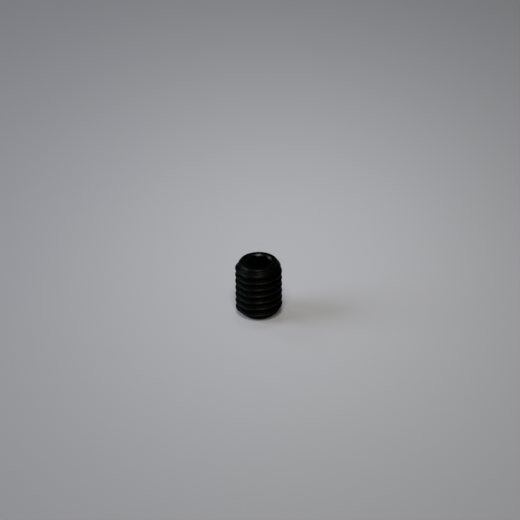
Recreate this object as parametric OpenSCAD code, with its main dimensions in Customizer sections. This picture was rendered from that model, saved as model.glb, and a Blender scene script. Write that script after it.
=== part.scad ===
// Hexagon socket set screw with a flat point: a headless screw with a full-length coarse thread.
// Units are millimetres. The axis is Z, the point's flat lies on Z = 0 and the socket opens upwards.

/* [Thread] */
// Major diameter, over the crests
thread_d = 8; // [7:0.1:16]
// Distance along the axis from one crest to the next
thread_pitch = 1.25; // [0.7:0.05:1.75]
// Angle about the axis at which a crest leaves the point's plane
thread_start = 210; // [0:1:359]
// Flat steps that make one turn of the groove
thread_steps = 60; // [36:6:72]

/* [Body] */
// Overall length, from the point's flat to the socket end
screw_length = 10; // [8:0.5:25]
// How far the point's chamfer cuts in from the crests
point_chamfer = 1.25; // [0.6:0.05:1.5]
// Angle of the point's chamfer to the axis
point_angle = 45; // [30:1:60]
// How far the socket end's chamfer cuts in from the crests
end_chamfer = 0.85; // [0.3:0.05:1]
// Angle of the socket end's chamfer to the axis
end_angle = 35; // [25:1:60]
// How far the broken edge between that chamfer and the end face cuts in
rim_break = 0.08; // [0.02:0.01:0.2]

/* [Socket] */
// Hexagon's width across its flats
socket_flats = 4; // [2:0.1:4.3]
// Depth of the hexagon's flats below the socket end
socket_depth = 5; // [3:0.1:6]
// Turn of the hexagon about the axis
socket_turn = 55; // [0:1:59]
// How far the countersunk mouth reaches past the hexagon's corners
mouth_margin = 0.13; // [0.02:0.01:0.3]
// Included angle of the countersunk mouth
mouth_angle = 130; // [90:1:140]
// Width of the ledge between the hexagon's flats and the drilled floor
floor_ledge = 0.1; // [0.05:0.01:0.3]
// Included angle of the drill point in the floor
floor_angle = 118; // [90:1:140]

/* [Hidden] */

// How far a cutting shape passes the face that it cuts through
cut_over = 0.2;
// Whole turns that the groove runs on past each end
run_out_turns = 2;
// Steps of a full circle on turned shapes
round_steps = 96;

// Blank, before the thread is cut
thread_r = thread_d / 2;
point_r = thread_r - point_chamfer;
point_h = point_chamfer / tan(point_angle);
end_r = thread_r - end_chamfer;
end_h = end_chamfer / tan(end_angle);
// The broken edge lies halfway between the chamfer and the end face
rim_r = end_r - rim_break;
rim_h = rim_break / (tan((90 + end_angle) / 2) - tan(end_angle));

// 60 degree thread form: the groove narrows inwards to a root with a rounded bottom
flank_angle = 30;
crest_flat = thread_pitch / 8;
groove_half = (thread_pitch - crest_flat) / 2;
root_half = thread_pitch / 8;
root_r = thread_r - (groove_half - root_half) / tan(flank_angle);
root_radius = root_half / cos(flank_angle);
root_depth = root_radius * (1 - sin(flank_angle));
// The groove's cutter stands proud of the crests by half of what would make its turns touch
cutter_over = crest_flat / 4 / tan(flank_angle);
cutter_half = groove_half + cutter_over * tan(flank_angle);
first_turn = -run_out_turns;
last_turn = ceil(screw_length / thread_pitch) + run_out_turns;

// Socket
socket_sides = 6;
corner_r = socket_flats / 2 / cos(180 / socket_sides);
mouth_r = corner_r + mouth_margin;
floor_r = socket_flats / 2 - floor_ledge;

// Corners of the groove's section as [radius, height from the groove's middle], going round once
groove_section = [
    [thread_r + cutter_over, -cutter_half],
    [root_r, -root_half],
    [root_r - root_depth, -root_half * tan(flank_angle / 2)],
    [root_r - root_depth, root_half * tan(flank_angle / 2)],
    [root_r, root_half],
    [thread_r + cutter_over, cutter_half],
];

// A section's corner carried along the right-hand helix to a given angle
function on_helix(corner, angle) = [
    corner[0] * cos(angle + thread_start),
    corner[0] * sin(angle + thread_start),
    corner[1] + thread_pitch * (angle / 360 + 0.5)
];

// Closed solid swept by the section along the helix, one ring of corners for each step
module thread_groove() {
    n = len(groove_section);
    rings = (last_turn - first_turn) * thread_steps;
    points = [
        for (ring = [0:rings], corner = groove_section)
            on_helix(corner, 360 * (first_turn + ring / thread_steps))
    ];
    walls = [
        for (ring = [0:rings - 1], i = [0:n - 1])
            let (a = ring * n + i, b = ring * n + (i + 1) % n)
                each [[a, b + n, b], [a, a + n, b + n]]
    ];
    first_end = [for (i = [0:n - 1]) i];
    last_end = [for (i = [n - 1:-1:0]) rings * n + i];
    polyhedron(points = points, faces = concat(walls, [first_end, last_end]));
}

// Turned blank: a cylinder at the major diameter with a chamfer at each end
module blank() {
    rotate_extrude($fn = round_steps)
        polygon([
            [0, 0],
            [point_r, 0],
            [thread_r, point_h],
            [thread_r, screw_length - end_h],
            [end_r + rim_h * tan(end_angle), screw_length - rim_h],
            [rim_r, screw_length],
            [0, screw_length],
        ]);
}

// Hexagon socket with a countersunk mouth and a drilled floor
module socket() {
    mouth_h = mouth_r / tan(mouth_angle / 2);
    over_h = cut_over / tan(mouth_angle / 2);
    floor_h = floor_r / tan(floor_angle / 2);
    rotate(socket_turn)
        translate([0, 0, screw_length - socket_depth])
            cylinder(r = corner_r, h = socket_depth + cut_over, $fn = socket_sides);
    translate([0, 0, screw_length - mouth_h])
        cylinder(r1 = 0, r2 = mouth_r + cut_over, h = mouth_h + over_h, $fn = round_steps);
    translate([0, 0, screw_length - socket_depth - floor_h])
        cylinder(r1 = 0, r2 = floor_r, h = floor_h, $fn = round_steps);
}

module set_screw() {
    color("#17181a")
        difference() {
            blank();
            thread_groove();
            socket();
        }
}

set_screw();
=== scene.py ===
import math

import bpy
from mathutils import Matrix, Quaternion, Vector


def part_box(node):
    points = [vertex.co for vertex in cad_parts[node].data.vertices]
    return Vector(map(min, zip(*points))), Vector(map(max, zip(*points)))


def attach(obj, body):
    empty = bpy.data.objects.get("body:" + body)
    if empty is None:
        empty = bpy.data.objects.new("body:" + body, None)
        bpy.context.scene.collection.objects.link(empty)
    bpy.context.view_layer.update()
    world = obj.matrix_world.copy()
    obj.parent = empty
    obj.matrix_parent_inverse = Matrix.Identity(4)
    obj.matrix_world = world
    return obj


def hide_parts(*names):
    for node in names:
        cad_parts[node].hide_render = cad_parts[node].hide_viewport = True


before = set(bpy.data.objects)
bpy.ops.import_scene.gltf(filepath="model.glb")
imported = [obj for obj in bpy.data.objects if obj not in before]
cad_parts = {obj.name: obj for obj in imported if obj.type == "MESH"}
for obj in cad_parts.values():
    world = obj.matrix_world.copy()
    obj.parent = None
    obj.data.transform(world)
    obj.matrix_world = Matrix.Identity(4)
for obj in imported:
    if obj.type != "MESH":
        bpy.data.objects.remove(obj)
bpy.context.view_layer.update()        # one node, set_screw, on the body "root"
print("frame loaded:", sorted(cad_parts))

mm = 0.001        # lengths below are in millimetres, Blender's in metres
fullTurn = 2 * math.pi


def hexColour(text):
    # sRGB hex to linear, with alpha
    channels = [int(text[i:i + 2], 16) / 255 for i in (1, 3, 5)]
    linear = [c / 12.92 if c <= 0.04045 else ((c + 0.055) / 1.055) ** 2.4 for c in channels]
    return (*linear, 1.0)


def addNode(tree, kind, settings, links):
    # links: an input's name or number, and the socket, node (its first output) or value for it
    node = tree.nodes.new(kind)
    for key, value in settings.items():
        setattr(node, key, value)
    for key, value in links.items():
        if isinstance(value, bpy.types.Node):
            value = value.outputs[0]
        if isinstance(value, bpy.types.NodeSocket):
            tree.links.new(value, node.inputs[key])
        else:
            node.inputs[key].default_value = value
    return node


# Black oxide on alloy steel: a thin conversion coat over rolled, turned and broached steel, left
# oiled. It gives a near-black satin that only the lamps light up, drawn out along the tool marks,
# and a greyer, sharper shine where handling has rubbed the crests and edges.
oxide = {
    "deepBlack": "#0c0e0c",
    "thinBlack": "#151714",
    "rubbedSteel": "#303330",
    "edgeTint": "#cbcbcb",     # the coat's fine grain dims what it mirrors at a glance
    "roughness": 0.38,
    "mottle": 0.06,            # rougher or smoother than that from grain to grain
    "rubbedPolish": 0.14,      # smoother than that where it's rubbed
    "patchSize": 1.4,          # mm, uneven coat and oil
    "patchDetail": 4.0,
    "scuffsPerPatch": 3,
    "scuffDetail": 5.0,
    "scuffFrom": 0.37,         # height of the scuff noise where the coat starts to wear off
    "scuffTo": 0.7,            # and where it's gone
    "grainSize": 0.09,         # mm, real oxide grain is finer and is drawn coarser to show
    "grainDepth": 0.0016,      # mm
    "grainLow": 0.25,          # nearly all of the grain noise lies between these heights
    "grainHigh": 0.75,
    "lineWidth": 0.07,         # mm, marks of the dies, the turning tool and the broach
    "lineDepth": 0.0014,       # mm
    "lineDrift": 3.0,          # mm along a mark before it fades into another
    "fineDetail": 2.0,         # of the grain and the marks
}


def blackOxideSteel():
    material = bpy.data.materials.new("blackOxideSteel")
    material.use_nodes = True
    tree = material.node_tree
    shader = tree.nodes["Principled BSDF"]
    place = addNode(tree, "ShaderNodeTexCoord", {}, {}).outputs["Object"]
    finish = addNode(tree, "ShaderNodeAttribute", {"attribute_name": "finish"}, {})
    finish = addNode(tree, "ShaderNodeSeparateXYZ", {}, {0: finish.outputs["Vector"]}).outputs
    rubbed, turned, broached = finish["X"], finish["Y"], finish["Z"]
    acrossThread = addNode(tree, "ShaderNodeAttribute", {"attribute_name": "crestGap"}, {})
    acrossThread = acrossThread.outputs["Fac"]

    # uneven coat, and bare steel coming through where it is rubbed
    patches = addNode(tree, "ShaderNodeTexNoise", {}, {
        "Vector": place, "Scale": 1 / (oxide["patchSize"] * mm), "Detail": oxide["patchDetail"]})
    coat = addNode(tree, "ShaderNodeMix", {"data_type": "RGBA"}, {
        "Factor": patches, 6: hexColour(oxide["deepBlack"]), 7: hexColour(oxide["thinBlack"])})
    scuffs = addNode(tree, "ShaderNodeTexNoise", {}, {
        "Vector": place, "Scale": oxide["scuffsPerPatch"] / (oxide["patchSize"] * mm),
        "Detail": oxide["scuffDetail"]})
    scuffed = addNode(tree, "ShaderNodeMapRange", {}, {
        "Value": scuffs, "From Min": oxide["scuffFrom"], "From Max": oxide["scuffTo"]})
    rub = addNode(tree, "ShaderNodeMath", {"operation": "MULTIPLY", "use_clamp": True}, {
        0: rubbed, 1: scuffed})
    colour = addNode(tree, "ShaderNodeMix", {"data_type": "RGBA"}, {
        "Factor": rub, 6: coat.outputs[2], 7: hexColour(oxide["rubbedSteel"])})

    # tool marks: along the helix on the thread, in rings where it was turned, upright in the socket
    perLine = 1 / (oxide["lineWidth"] * mm)
    perDrift = 1 / (oxide["lineDrift"] * mm)
    drift = addNode(tree, "ShaderNodeVectorMath", {"operation": "SCALE"}, {
        0: place, "Scale": perDrift})
    rolledLines = addNode(tree, "ShaderNodeMath", {"operation": "MULTIPLY"}, {
        0: acrossThread, 1: perLine})
    rolledMarks = addNode(tree, "ShaderNodeTexNoise", {"noise_dimensions": "4D"}, {
        "Vector": drift, "W": rolledLines, "Scale": 1.0, "Detail": oxide["fineDetail"]})
    flat = addNode(tree, "ShaderNodeVectorMath", {"operation": "MULTIPLY"}, {
        0: place, 1: (1.0, 1.0, 0.0)})
    radius = addNode(tree, "ShaderNodeVectorMath", {"operation": "LENGTH"}, {0: flat})
    turnedLines = addNode(tree, "ShaderNodeMath", {"operation": "MULTIPLY"}, {
        0: radius.outputs["Value"], 1: perLine})
    turnedMarks = addNode(tree, "ShaderNodeTexNoise", {"noise_dimensions": "4D"}, {
        "Vector": drift, "W": turnedLines, "Scale": 1.0, "Detail": oxide["fineDetail"]})
    upright = addNode(tree, "ShaderNodeVectorMath", {"operation": "MULTIPLY"}, {
        0: place, 1: (perLine, perLine, perDrift)})
    broachMarks = addNode(tree, "ShaderNodeTexNoise", {}, {
        "Vector": upright, "Scale": 1.0, "Detail": oxide["fineDetail"]})
    turnedOrRolled = addNode(tree, "ShaderNodeMix", {}, {
        "Factor": turned, 2: rolledMarks, 3: turnedMarks})
    marks = addNode(tree, "ShaderNodeMix", {}, {
        "Factor": broached, 2: turnedOrRolled, 3: broachMarks})
    lineBump = addNode(tree, "ShaderNodeBump", {}, {
        "Height": marks, "Strength": 1.0, "Distance": oxide["lineDepth"] * mm})

    # the coat's grain, as bumps and as mottled roughness
    grain = addNode(tree, "ShaderNodeTexNoise", {}, {
        "Vector": place, "Scale": 1 / (oxide["grainSize"] * mm), "Detail": oxide["fineDetail"]})
    grainBump = addNode(tree, "ShaderNodeBump", {}, {
        "Height": grain, "Strength": 1.0, "Distance": oxide["grainDepth"] * mm, "Normal": lineBump})
    mottled = addNode(tree, "ShaderNodeMapRange", {}, {
        "Value": grain, "From Min": oxide["grainLow"], "From Max": oxide["grainHigh"],
        "To Min": oxide["roughness"] - oxide["mottle"],
        "To Max": oxide["roughness"] + oxide["mottle"]})
    roughness = addNode(tree, "ShaderNodeMath", {"operation": "MULTIPLY_ADD"}, {
        0: rub, 1: -oxide["rubbedPolish"], 2: mottled})
    shader.inputs["Metallic"].default_value = 1.0
    shader.inputs["Specular Tint"].default_value = hexColour(oxide["edgeTint"])
    tree.links.new(colour.outputs[2], shader.inputs["Base Color"])
    tree.links.new(roughness.outputs[0], shader.inputs["Roughness"])
    tree.links.new(grainBump.outputs[0], shader.inputs["Normal"])
    return material


# Set screw: a helical skin for the thread, and rings of skin for its two ends and its socket
screwLow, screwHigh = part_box("set_screw")
screw = {
    "radius": (screwHigh.x - screwLow.x) / 2 / mm,        # over the crests
    "length": (screwHigh.z - screwLow.z) / mm,
    "pitch": 1.25,
    "crestShare": 0.125,       # of the pitch, the crest's flat in the standard 60 degree form
    "threadStart": 210,        # degrees about the axis where a crest leaves the point's plane
    "flankAngle": 30,          # degrees to a plane across the axis
    "rootRadius": 3.233,       # at the bottom of the groove
    "rootRounding": 0.18,
    "crestRounding": 0.1,
    "pointChamfer": 1.25,
    "pointAngle": 45,          # degrees to the axis
    "endChamfer": 0.85,
    "endAngle": 35,            # degrees to the axis
    "rimBreak": 0.08,          # broken edge between that chamfer and the end face
    "rimRounding": 0.1,
    "chamferRounding": 0.04,   # where a chamfer cuts across the thread
    "edgeFillet": 0.05,        # the other edges
    "socketSides": 6,
    "socketFlats": 4.0,
    "socketDepth": 5.0,
    "socketTurn": 55,          # degrees about the axis
    "mouthMargin": 0.13,       # countersink past the hexagon's corners
    "mouthAngle": 130,
    "floorLedge": 0.1,
    "floorAngle": 118,
    "rubWidth": 0.13,          # half of the crest's rubbed band
    "turnSteps": 180,          # a multiple of the hexagon's sides
    "pitchRows": 48,
    "filletRows": 4,
    "faceRows": 6,
    "bandRows": 2,             # between an end's edge and the thread's skin
    "mouthRows": 6,
    "wallRows": 24,
    "ledgeRows": 3,
    "drillRows": 10,
    "mergeDistance": 0.001,
    "sharpAngle": 35,          # degrees, a sharper edge isn't smoothed
}
halfSide = 0.5 / screw["socketSides"]        # of a turn, from the middle of a flat to a corner

# share of rubbing, turning marks and broach marks on each kind of surface
turnedFinish = (0.0, 1.0, 0.0)
broachedFinish = (0.0, 0.0, 1.0)
mouthFinish = (3.5, 1.0, 0.0)        # keys polish it, so it's rubbed nearly all over
edgeFinish = (1.0, 1.0, 0.0)


def ringStripTree():
    # a ring of skin from one place of the section to another, bent towards a corner on the way
    tree = bpy.data.node_groups.new("ringStrip", "GeometryNodeTree")
    for name in ("Turn Steps", "Rows"):
        tree.interface.new_socket(name=name, in_out="INPUT", socket_type="NodeSocketInt")
    tree.interface.new_socket(name="Base Turn", in_out="INPUT", socket_type="NodeSocketFloat")
    for name in ("From", "Corner", "To", "Finish"):
        tree.interface.new_socket(name=name, in_out="INPUT", socket_type="NodeSocketVector")
    tree.interface.new_socket(name="Strip", in_out="OUTPUT", socket_type="NodeSocketGeometry")
    given = tree.nodes.new("NodeGroupInput").outputs
    columns = addNode(tree, "ShaderNodeMath", {"operation": "ADD"}, {
        0: given["Turn Steps"], 1: 1.0})
    lines = addNode(tree, "ShaderNodeMath", {"operation": "ADD"}, {0: given["Rows"], 1: 1.0})
    grid = addNode(tree, "GeometryNodeMeshGrid", {}, {
        "Size X": 1.0, "Size Y": 1.0, "Vertices X": columns, "Vertices Y": lines})
    place = addNode(tree, "GeometryNodeInputPosition", {}, {})
    share = addNode(tree, "ShaderNodeSeparateXYZ", {}, {0: place}).outputs
    turn = addNode(tree, "ShaderNodeMath", {"operation": "ADD"}, {
        0: share["X"], 1: given["Base Turn"]})
    angle = addNode(tree, "ShaderNodeMath", {"operation": "MULTIPLY"}, {0: turn, 1: fullTurn})
    along = addNode(tree, "ShaderNodeMath", {"operation": "ADD"}, {0: share["Y"], 1: 0.5})
    # a quadratic curve is a mix of two mixes
    vectors = {"data_type": "VECTOR"}
    near = addNode(tree, "ShaderNodeMix", vectors, {
        "Factor": along, 4: given["From"], 5: given["Corner"]})
    far = addNode(tree, "ShaderNodeMix", vectors, {
        "Factor": along, 4: given["Corner"], 5: given["To"]})
    curve = addNode(tree, "ShaderNodeMix", vectors, {
        "Factor": along, 4: near.outputs[1], 5: far.outputs[1]})
    swept = addNode(tree, "ShaderNodeVectorRotate", {"rotation_type": "Z_AXIS"}, {
        "Vector": curve.outputs[1], "Angle": angle})
    strip = addNode(tree, "GeometryNodeSetPosition", {}, {"Geometry": grid, "Position": swept})
    marked = addNode(tree, "GeometryNodeStoreNamedAttribute", {"data_type": "FLOAT_VECTOR"}, {
        "Geometry": strip, "Name": "finish", "Value": given["Finish"]})
    addNode(tree, "NodeGroupOutput", {}, {"Strip": marked})
    return tree


def beside(tree, corner, other, reach):
    # the place a short reach away from a corner, on the way to another place
    way = addNode(tree, "ShaderNodeVectorMath", {"operation": "SUBTRACT"}, {0: other, 1: corner})
    unit = addNode(tree, "ShaderNodeVectorMath", {"operation": "NORMALIZE"}, {0: way})
    step = addNode(tree, "ShaderNodeVectorMath", {"operation": "SCALE"}, {0: unit, "Scale": reach})
    return addNode(tree, "ShaderNodeVectorMath", {"operation": "ADD"}, {0: corner, 1: step})


def endRadius(tree, given, toEnd):
    # radius of the socket end's chamfer and its broken edge, at a distance below the end face
    chamfer = addNode(tree, "ShaderNodeMath", {"operation": "MULTIPLY_ADD"}, {
        0: toEnd, 1: given["End Slope"], 2: given["End Radius"]})
    broken = addNode(tree, "ShaderNodeMath", {"operation": "MULTIPLY_ADD"}, {
        0: toEnd, 1: given["Rim Slope"], 2: given["Rim Radius"]})
    return addNode(tree, "ShaderNodeMath", {"operation": "SMOOTH_MIN"}, {
        0: chamfer, 1: broken, 2: given["Rim Rounding"]})


def setScrewTree():
    stripTree = ringStripTree()
    tree = bpy.data.node_groups.new("setScrewShape", "GeometryNodeTree")
    lengths = (
        "Radius", "Length", "Pitch", "Crest Flat", "Root Radius", "Root Rounding", "Crest Rounding",
        "Point Radius", "End Radius", "Rim Radius", "Rim Rounding", "Chamfer Rounding",
        "Edge Fillet", "Flat Distance", "Mouth Radius", "Socket Floor", "Floor Radius",
        "Rub Width", "Merge Distance")
    slopes = ("Flank Slope", "Point Slope", "End Slope", "Rim Slope", "Mouth Slope", "Floor Slope")
    turns = ("Thread Start", "Socket Turn", "Sharp Angle")
    for name in lengths + slopes + turns:
        tree.interface.new_socket(name=name, in_out="INPUT", socket_type="NodeSocketFloat")
    for name in ("Turn Steps", "Pitch Rows", "Fillet Rows"):
        tree.interface.new_socket(name=name, in_out="INPUT", socket_type="NodeSocketInt")
    tree.interface.new_socket(name="Material", in_out="INPUT", socket_type="NodeSocketMaterial")
    tree.interface.new_socket(name="Screw", in_out="OUTPUT", socket_type="NodeSocketGeometry")
    given = tree.nodes.new("NodeGroupInput").outputs
    place = addNode(tree, "GeometryNodeInputPosition", {}, {})
    share = addNode(tree, "ShaderNodeSeparateXYZ", {}, {0: place}).outputs

    # thread: a grid of one turn by a number of pitches, sheared so that its rows follow the helix
    pitches = addNode(tree, "ShaderNodeMath", {"operation": "DIVIDE"}, {
        0: given["Length"], 1: given["Pitch"]})
    whole = addNode(tree, "ShaderNodeMath", {"operation": "CEIL"}, {0: pitches})
    span = addNode(tree, "ShaderNodeMath", {"operation": "ADD"}, {0: whole, 1: 1.0})
    lines = addNode(tree, "ShaderNodeMath", {"operation": "MULTIPLY_ADD"}, {
        0: span, 1: given["Pitch Rows"], 2: 1.0})
    columns = addNode(tree, "ShaderNodeMath", {"operation": "ADD"}, {
        0: given["Turn Steps"], 1: 1.0})
    grid = addNode(tree, "GeometryNodeMeshGrid", {}, {
        "Size X": 1.0, "Size Y": span, "Vertices X": columns, "Vertices Y": lines})
    climb = addNode(tree, "ShaderNodeMath", {"operation": "ADD"}, {0: share["X"], 1: share["Y"]})
    middle = addNode(tree, "ShaderNodeMath", {"operation": "MULTIPLY"}, {
        0: given["Length"], 1: 0.5})
    unbounded = addNode(tree, "ShaderNodeMath", {"operation": "MULTIPLY_ADD"}, {
        0: climb, 1: given["Pitch"], 2: middle})
    top = addNode(tree, "ShaderNodeMath", {"operation": "SUBTRACT"}, {
        0: given["Length"], 1: given["Edge Fillet"]})
    height = addNode(tree, "ShaderNodeClamp", {}, {
        "Value": unbounded, "Min": given["Edge Fillet"], "Max": top})

    # distance along the axis to the nearest crest, and the groove's section from it
    turn = addNode(tree, "ShaderNodeMath", {"operation": "ADD"}, {
        0: share["X"], 1: given["Socket Turn"]})
    lead = addNode(tree, "ShaderNodeMath", {"operation": "SUBTRACT"}, {
        0: turn, 1: given["Thread Start"]})
    crestHeight = addNode(tree, "ShaderNodeMath", {"operation": "MULTIPLY"}, {
        0: lead, 1: given["Pitch"]})
    aboveCrest = addNode(tree, "ShaderNodeMath", {"operation": "SUBTRACT"}, {
        0: height, 1: crestHeight})
    halfPitch = addNode(tree, "ShaderNodeMath", {"operation": "MULTIPLY"}, {
        0: given["Pitch"], 1: 0.5})
    crestGap = addNode(tree, "ShaderNodeMath", {"operation": "PINGPONG"}, {
        0: aboveCrest, 1: halfPitch})
    halfFlat = addNode(tree, "ShaderNodeMath", {"operation": "MULTIPLY"}, {
        0: given["Crest Flat"], 1: 0.5})
    pastFlat = addNode(tree, "ShaderNodeMath", {"operation": "SUBTRACT"}, {
        0: crestGap, 1: halfFlat})
    fall = addNode(tree, "ShaderNodeMath", {"operation": "MULTIPLY"}, {
        0: pastFlat, 1: given["Flank Slope"]})
    flank = addNode(tree, "ShaderNodeMath", {"operation": "SUBTRACT"}, {
        0: given["Radius"], 1: fall})
    rooted = addNode(tree, "ShaderNodeMath", {"operation": "SMOOTH_MAX"}, {
        0: flank, 1: given["Root Radius"], 2: given["Root Rounding"]})
    crested = addNode(tree, "ShaderNodeMath", {"operation": "SMOOTH_MIN"}, {
        0: rooted, 1: given["Radius"], 2: given["Crest Rounding"]})

    # the chamfers turned across both ends
    pointCone = addNode(tree, "ShaderNodeMath", {"operation": "MULTIPLY_ADD"}, {
        0: height, 1: given["Point Slope"], 2: given["Point Radius"]})
    toEnd = addNode(tree, "ShaderNodeMath", {"operation": "SUBTRACT"}, {
        0: given["Length"], 1: height})
    endCones = endRadius(tree, given, toEnd)
    cones = addNode(tree, "ShaderNodeMath", {"operation": "MINIMUM"}, {0: pointCone, 1: endCones})
    radius = addNode(tree, "ShaderNodeMath", {"operation": "SMOOTH_MIN"}, {
        0: crested, 1: cones, 2: given["Chamfer Rounding"]})
    section = addNode(tree, "ShaderNodeCombineXYZ", {}, {"X": radius, "Z": height})
    angle = addNode(tree, "ShaderNodeMath", {"operation": "MULTIPLY"}, {0: turn, 1: fullTurn})
    swept = addNode(tree, "ShaderNodeVectorRotate", {"rotation_type": "Z_AXIS"}, {
        "Vector": section, "Angle": angle})

    # marks for the material, kept before the grid is bent: rubbed crests, turned chamfers
    turned = addNode(tree, "FunctionNodeCompare", {"operation": "GREATER_THAN"}, {
        0: crested, 1: cones})
    rubbed = addNode(tree, "ShaderNodeMapRange", {"interpolation_type": "SMOOTHSTEP"}, {
        "Value": crestGap, "From Min": given["Rub Width"], "From Max": 0.0})
    onThread = addNode(tree, "ShaderNodeMath", {"operation": "SUBTRACT"}, {0: 1.0, 1: turned})
    rubbed = addNode(tree, "ShaderNodeMath", {"operation": "MULTIPLY"}, {0: rubbed, 1: onThread})
    finish = addNode(tree, "ShaderNodeCombineXYZ", {}, {"X": rubbed, "Y": turned})
    marked = addNode(tree, "GeometryNodeStoreNamedAttribute", {"data_type": "FLOAT_VECTOR"}, {
        "Geometry": grid, "Name": "finish", "Value": finish})
    measured = addNode(tree, "GeometryNodeStoreNamedAttribute", {"data_type": "FLOAT"}, {
        "Geometry": marked, "Name": "crestGap", "Value": crestGap})
    thread = addNode(tree, "GeometryNodeSetPosition", {}, {"Geometry": measured, "Position": swept})
    skins = [thread]

    # hexagon: its radius at each angle, and where its walls meet the countersink
    toCorner = addNode(tree, "ShaderNodeMath", {"operation": "PINGPONG"}, {
        0: share["X"], 1: halfSide})
    toFlat = addNode(tree, "ShaderNodeMath", {"operation": "MULTIPLY_ADD"}, {
        0: toCorner, 1: -fullTurn, 2: fullTurn * halfSide})
    lean = addNode(tree, "ShaderNodeMath", {"operation": "COSINE"}, {0: toFlat})
    hexagon = addNode(tree, "ShaderNodeMath", {"operation": "DIVIDE"}, {
        0: given["Flat Distance"], 1: lean})
    mouthRun = addNode(tree, "ShaderNodeMath", {"operation": "SUBTRACT"}, {
        0: given["Mouth Radius"], 1: hexagon})
    mouthDrop = addNode(tree, "ShaderNodeMath", {"operation": "MULTIPLY"}, {
        0: mouthRun, 1: given["Mouth Slope"]})
    rim = addNode(tree, "ShaderNodeMath", {"operation": "SUBTRACT"}, {
        0: given["Length"], 1: mouthDrop})
    floorDrop = addNode(tree, "ShaderNodeMath", {"operation": "MULTIPLY"}, {
        0: given["Floor Radius"], 1: given["Floor Slope"]})
    drillTip = addNode(tree, "ShaderNodeMath", {"operation": "SUBTRACT"}, {
        0: given["Socket Floor"], 1: floorDrop})
    pointBand = addNode(tree, "ShaderNodeMath", {"operation": "MULTIPLY_ADD"}, {
        0: given["Edge Fillet"], 1: given["Point Slope"], 2: given["Point Radius"]})
    endBand = endRadius(tree, given, given["Edge Fillet"])

    # sections of the two ends: radius, height, whether the edge there is broken, and the rows
    # and finish of the skin from there to the next place
    pointEnd = (
        (0.0, 0.0, False, screw["faceRows"], turnedFinish),
        (given["Point Radius"], 0.0, True, screw["bandRows"], turnedFinish),
        (pointBand, given["Edge Fillet"], False, 0, turnedFinish),
    )
    socketEnd = (
        (endBand, top, False, screw["bandRows"], turnedFinish),
        (given["Rim Radius"], given["Length"], True, screw["faceRows"], turnedFinish),
        (given["Mouth Radius"], given["Length"], True, screw["mouthRows"], mouthFinish),
        (hexagon, rim, True, screw["wallRows"], broachedFinish),
        (hexagon, given["Socket Floor"], False, screw["ledgeRows"], broachedFinish),
        (given["Floor Radius"], given["Socket Floor"], False, screw["drillRows"], turnedFinish),
        (0.0, drillTip, False, 0, turnedFinish),
    )
    for places in (pointEnd, socketEnd):
        spots = [addNode(tree, "ShaderNodeCombineXYZ", {}, {"X": p[0], "Z": p[1]}) for p in places]
        start = spots[0]
        for i in range(1, len(places)):
            stop = spots[i]
            legs = []
            if places[i][2]:
                stop = beside(tree, spots[i], spots[i - 1], given["Edge Fillet"])
                after = beside(tree, spots[i], spots[i + 1], given["Edge Fillet"])
                legs.append((stop, spots[i], after, given["Fillet Rows"], edgeFinish))
            legs.append((start, start, stop, places[i - 1][3], places[i - 1][4]))
            for legStart, corner, legStop, rowCount, legFinish in legs:
                skins.append(addNode(tree, "GeometryNodeGroup", {"node_tree": stripTree}, {
                    "Turn Steps": given["Turn Steps"], "Rows": rowCount,
                    "Base Turn": given["Socket Turn"], "From": legStart, "Corner": corner,
                    "To": legStop, "Finish": legFinish}))
            start = after if places[i][2] else stop

    # one closed skin, smooth but for its real edges
    joined = tree.nodes.new("GeometryNodeJoinGeometry")
    for skin in skins:
        tree.links.new(skin.outputs[0], joined.inputs[0])
    closed = addNode(tree, "GeometryNodeMergeByDistance", {}, {
        "Geometry": joined, "Distance": given["Merge Distance"]})
    rounded = addNode(tree, "GeometryNodeSetShadeSmooth", {"domain": "FACE"}, {
        "Geometry": closed, "Shade Smooth": True})
    edgeAngle = addNode(tree, "GeometryNodeInputMeshEdgeAngle", {}, {})
    gentle = addNode(tree, "FunctionNodeCompare", {"operation": "LESS_THAN"}, {
        0: edgeAngle, 1: given["Sharp Angle"]})
    edged = addNode(tree, "GeometryNodeSetShadeSmooth", {"domain": "EDGE"}, {
        "Geometry": rounded, "Shade Smooth": gentle})
    real = addNode(tree, "GeometryNodeRealizeInstances", {}, {"Geometry": edged})
    dressed = addNode(tree, "GeometryNodeSetMaterial", {}, {
        "Geometry": real, "Material": given["Material"]})
    addNode(tree, "NodeGroupOutput", {}, {"Screw": dressed})
    return tree


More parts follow.
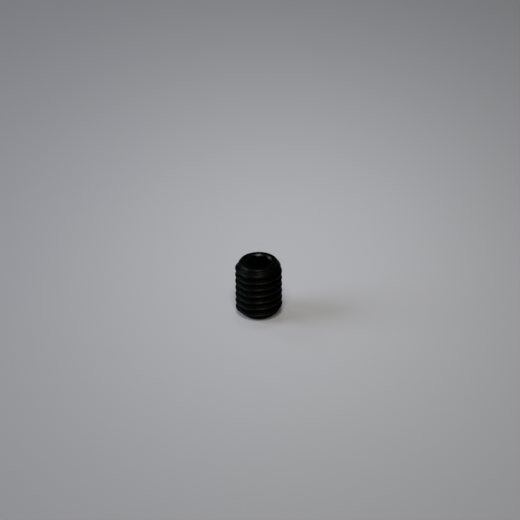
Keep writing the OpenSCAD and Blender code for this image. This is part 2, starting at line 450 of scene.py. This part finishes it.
def makeSetScrew(material):
    tree = setScrewTree()
    cornerRadius = screw["socketFlats"] / 2 / math.cos(fullTurn * halfSide)
    rimAngle = (90 + screw["endAngle"]) / 2        # halfway from the chamfer to the end face
    lengths = {
        "Radius": screw["radius"],
        "Length": screw["length"],
        "Pitch": screw["pitch"],
        "Crest Flat": screw["pitch"] * screw["crestShare"],
        "Root Radius": screw["rootRadius"],
        "Root Rounding": screw["rootRounding"],
        "Crest Rounding": screw["crestRounding"],
        "Point Radius": screw["radius"] - screw["pointChamfer"],
        "End Radius": screw["radius"] - screw["endChamfer"],
        "Rim Radius": screw["radius"] - screw["endChamfer"] - screw["rimBreak"],
        "Rim Rounding": screw["rimRounding"],
        "Chamfer Rounding": screw["chamferRounding"],
        "Edge Fillet": screw["edgeFillet"],
        "Flat Distance": screw["socketFlats"] / 2,
        "Mouth Radius": cornerRadius + screw["mouthMargin"],
        "Socket Floor": screw["length"] - screw["socketDepth"],
        "Floor Radius": screw["socketFlats"] / 2 - screw["floorLedge"],
        "Rub Width": screw["rubWidth"],
        "Merge Distance": screw["mergeDistance"],
    }
    values = {name: length * mm for name, length in lengths.items()}
    values.update({
        "Flank Slope": 1 / math.tan(math.radians(screw["flankAngle"])),
        "Point Slope": math.tan(math.radians(screw["pointAngle"])),
        "End Slope": math.tan(math.radians(screw["endAngle"])),
        "Rim Slope": math.tan(math.radians(rimAngle)),
        "Mouth Slope": 1 / math.tan(math.radians(screw["mouthAngle"] / 2)),
        "Floor Slope": 1 / math.tan(math.radians(screw["floorAngle"] / 2)),
        "Thread Start": screw["threadStart"] / 360,
        "Socket Turn": screw["socketTurn"] / 360,
        "Sharp Angle": math.radians(screw["sharpAngle"]),
        "Turn Steps": screw["turnSteps"],
        "Pitch Rows": screw["pitchRows"],
        "Fillet Rows": screw["filletRows"],
        "Material": material,
    })
    former = bpy.data.objects.new("screwFormer", bpy.data.meshes.new("screwFormer"))
    bpy.context.collection.objects.link(former)
    modifier = former.modifiers.new("shape", "NODES")
    modifier.node_group = tree
    for socket in tree.interface.items_tree:
        if socket.in_out == "INPUT":
            modifier[socket.identifier] = values[socket.name]
    shaped = former.evaluated_get(bpy.context.evaluated_depsgraph_get())
    mesh = bpy.data.meshes.new_from_object(shaped)
    bpy.data.objects.remove(former)
    mesh.name = "setScrew"
    piece = bpy.data.objects.new("setScrew", mesh)
    bpy.context.collection.objects.link(piece)
    return piece


setScrew = makeSetScrew(blackOxideSteel())
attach(setScrew, "root")
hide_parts("set_screw")
print("set screw made:", len(setScrew.data.polygons), "faces")


# Floor: matte opal sheet with a painted glow, as if lit a little from below, so that shadows on it
# stay light. Its colour is painted darker away from a centre, a painted falloff of the lamps'
# light.
floor = {
    "middle": "#bec0c3",
    "paintedShadeOutside": "#6e7073",
    "paintedPoolX": 7.3,      # centre of the painted pool of light, its lightest part
    "paintedPoolY": 22.6,
    "paintedReachX": 56.4,      # from there to where the painted falloff is halfway to the darker colour
    "paintedReachY": 92.9,
    "glow": 0.1,         # part of its brightness painted in as a glow, as if lit from below, which shadows don't take
    "glowColour": "#fff7de",
    "width": 3000,
    "roughness": 0.8,
}


def makeFloor():
    half = floor["width"] / 2 * mm
    mesh = bpy.data.meshes.new("floor")
    corners = [(-half, -half, 0), (half, -half, 0), (half, half, 0), (-half, half, 0)]
    mesh.from_pydata(corners, [], [(0, 1, 2, 3)])
    material = bpy.data.materials.new("opalSheet")
    material.use_nodes = True
    tree = material.node_tree
    shader = tree.nodes["Principled BSDF"]
    place = addNode(tree, "ShaderNodeTexCoord", {}, {}).outputs["Object"]
    centred = addNode(tree, "ShaderNodeMapping", {"vector_type": "TEXTURE"}, {
        "Vector": place, "Location": (floor["paintedPoolX"] * mm, floor["paintedPoolY"] * mm, 0),
        "Scale": (floor["paintedReachX"] * mm, floor["paintedReachY"] * mm, 1)})
    outwards = addNode(tree, "ShaderNodeVectorMath", {"operation": "DOT_PRODUCT"}, {
        0: centred, 1: centred}).outputs["Value"]
    past = addNode(tree, "ShaderNodeMath", {"operation": "ADD"}, {0: outwards, 1: 1.0})
    paintedFalloff = addNode(tree, "ShaderNodeMath", {"operation": "DIVIDE"}, {0: outwards, 1: past})
    # painted shade: the colour darkens away from the centre, a painted falloff of the lamps' light
    shade = addNode(tree, "ShaderNodeMix", {"data_type": "RGBA"}, {
        "Factor": paintedFalloff, 6: hexColour(floor["middle"]), 7: hexColour(floor["paintedShadeOutside"])})
    lit = addNode(tree, "ShaderNodeVectorMath", {"operation": "SCALE"}, {
        0: shade.outputs[2], "Scale": 1 - floor["glow"]})
    # painted glow: a warm emission that only camera, glossy and transmission rays see, so shadows
    # don't darken it
    warm = addNode(tree, "ShaderNodeVectorMath", {"operation": "MULTIPLY"}, {
        0: shade.outputs[2], 1: hexColour(floor["glowColour"])[:3]})
    ray = addNode(tree, "ShaderNodeLightPath", {}, {}).outputs
    direct = addNode(tree, "ShaderNodeMath", {"operation": "ADD"}, {
        0: ray["Is Camera Ray"], 1: ray["Is Glossy Ray"]})
    seen = addNode(tree, "ShaderNodeMath", {"operation": "ADD", "use_clamp": True}, {
        0: direct, 1: ray["Is Transmission Ray"]})
    glow = addNode(tree, "ShaderNodeMath", {"operation": "MULTIPLY"}, {0: seen, 1: floor["glow"]})
    tree.links.new(lit.outputs[0], shader.inputs["Base Color"])
    tree.links.new(warm.outputs[0], shader.inputs["Emission Color"])
    tree.links.new(glow.outputs[0], shader.inputs["Emission Strength"])
    shader.inputs["Roughness"].default_value = floor["roughness"]
    shader.inputs["Specular IOR Level"].default_value = 0.0
    mesh.materials.append(material)
    ground = bpy.data.objects.new("floor", mesh)
    bpy.context.collection.objects.link(ground)
    return ground


makeFloor()
print("floor made")


# Lamps: the main one in front and above, a wide one low on the left, and two small ones behind.
# A share is the part of the floor's light that a lamp gives. With the world's they come to 0.91,
# so the floor shows a little darker than its colours are written. Angles are in degrees.
lamps = {
    "frontLamp": {
        "azimuth": 269, "elevation": 58, "distance": 500,
        "width": 160, "share": 0.46, "colour": "#fffaf3"},
    "leftKey": {
        "azimuth": 181, "elevation": 29, "distance": 500,
        "width": 320, "share": 0.27, "colour": "#e6eaff"},
    "backSpark": {
        "azimuth": 90, "elevation": 77, "distance": 250,
        "width": 40, "share": 0.07, "colour": "#f8f9ff"},
    "backFill": {
        "azimuth": 135, "elevation": 42, "distance": 400,
        "width": 120, "share": 0.05, "colour": "#f3f5ff"},
}
world = {"colour": "#f4f6ff", "share": 0.06}


def makeLamp(name, lamp):
    azimuth = math.radians(lamp["azimuth"])
    elevation = math.radians(lamp["elevation"])
    toLamp = Vector((math.cos(elevation) * math.cos(azimuth),
                     math.cos(elevation) * math.sin(azimuth),
                     math.sin(elevation)))
    data = bpy.data.lights.new(name, "AREA")
    data.shape = "DISK"
    data.size = lamp["width"] * mm
    data.color = hexColour(lamp["colour"])[:3]
    # a floor lit with pi watts per square metre shows its colour as written
    reach = math.hypot(lamp["distance"], lamp["width"] / 2) * mm
    data.energy = (math.pi * reach) ** 2 * lamp["share"] / math.sin(elevation)
    thing = bpy.data.objects.new(name, data)
    thing.location = toLamp * lamp["distance"] * mm
    thing.rotation_euler = toLamp.to_track_quat("Z", "Y").to_euler()
    bpy.context.collection.objects.link(thing)


for lampName, lampValues in lamps.items():
    makeLamp(lampName, lampValues)

surround = bpy.data.worlds.new("dimStudio")
surround.use_nodes = True
background = surround.node_tree.nodes["Background"]
background.inputs["Color"].default_value = hexColour(world["colour"])
background.inputs["Strength"].default_value = world["share"]
scene = bpy.context.scene
scene.world = surround
scene.view_settings.view_transform = "Standard"
print("lamps made:", ", ".join(lamps))


# Camera, fitted to the photograph's outline of the screw
camera = {
    "elevation": 30.9,    # degrees
    "distance": 600,
    "lens": 242.3,
    "sensorWidth": 36,
    "roll": 0.55,         # degrees
    "aimRight": 0.182,    # of the point's centre, in the picture
    "aimUp": 8.8,
    "nearest": 10,        # nothing closer than this is drawn
}


def makeCamera():
    elevation = math.radians(camera["elevation"])
    back = Vector((0, -math.cos(elevation), math.sin(elevation)))
    roll = Quaternion((0, 0, 1), math.radians(-camera["roll"]))
    rolled = back.to_track_quat("Z", "Y") @ roll
    aim = rolled @ Vector((camera["aimRight"], camera["aimUp"], 0)) * mm
    spot = back * camera["distance"] * mm
    tilted = (spot - aim).to_track_quat("Z", "Y") @ roll
    data = bpy.data.cameras.new("photoCamera")
    data.lens = camera["lens"]
    data.sensor_width = camera["sensorWidth"]
    data.clip_start = camera["nearest"] * mm
    thing = bpy.data.objects.new("photoCamera", data)
    thing.location = spot
    thing.rotation_euler = tilted.to_euler()
    bpy.context.collection.objects.link(thing)
    return thing


scene.camera = makeCamera()
print("camera made")
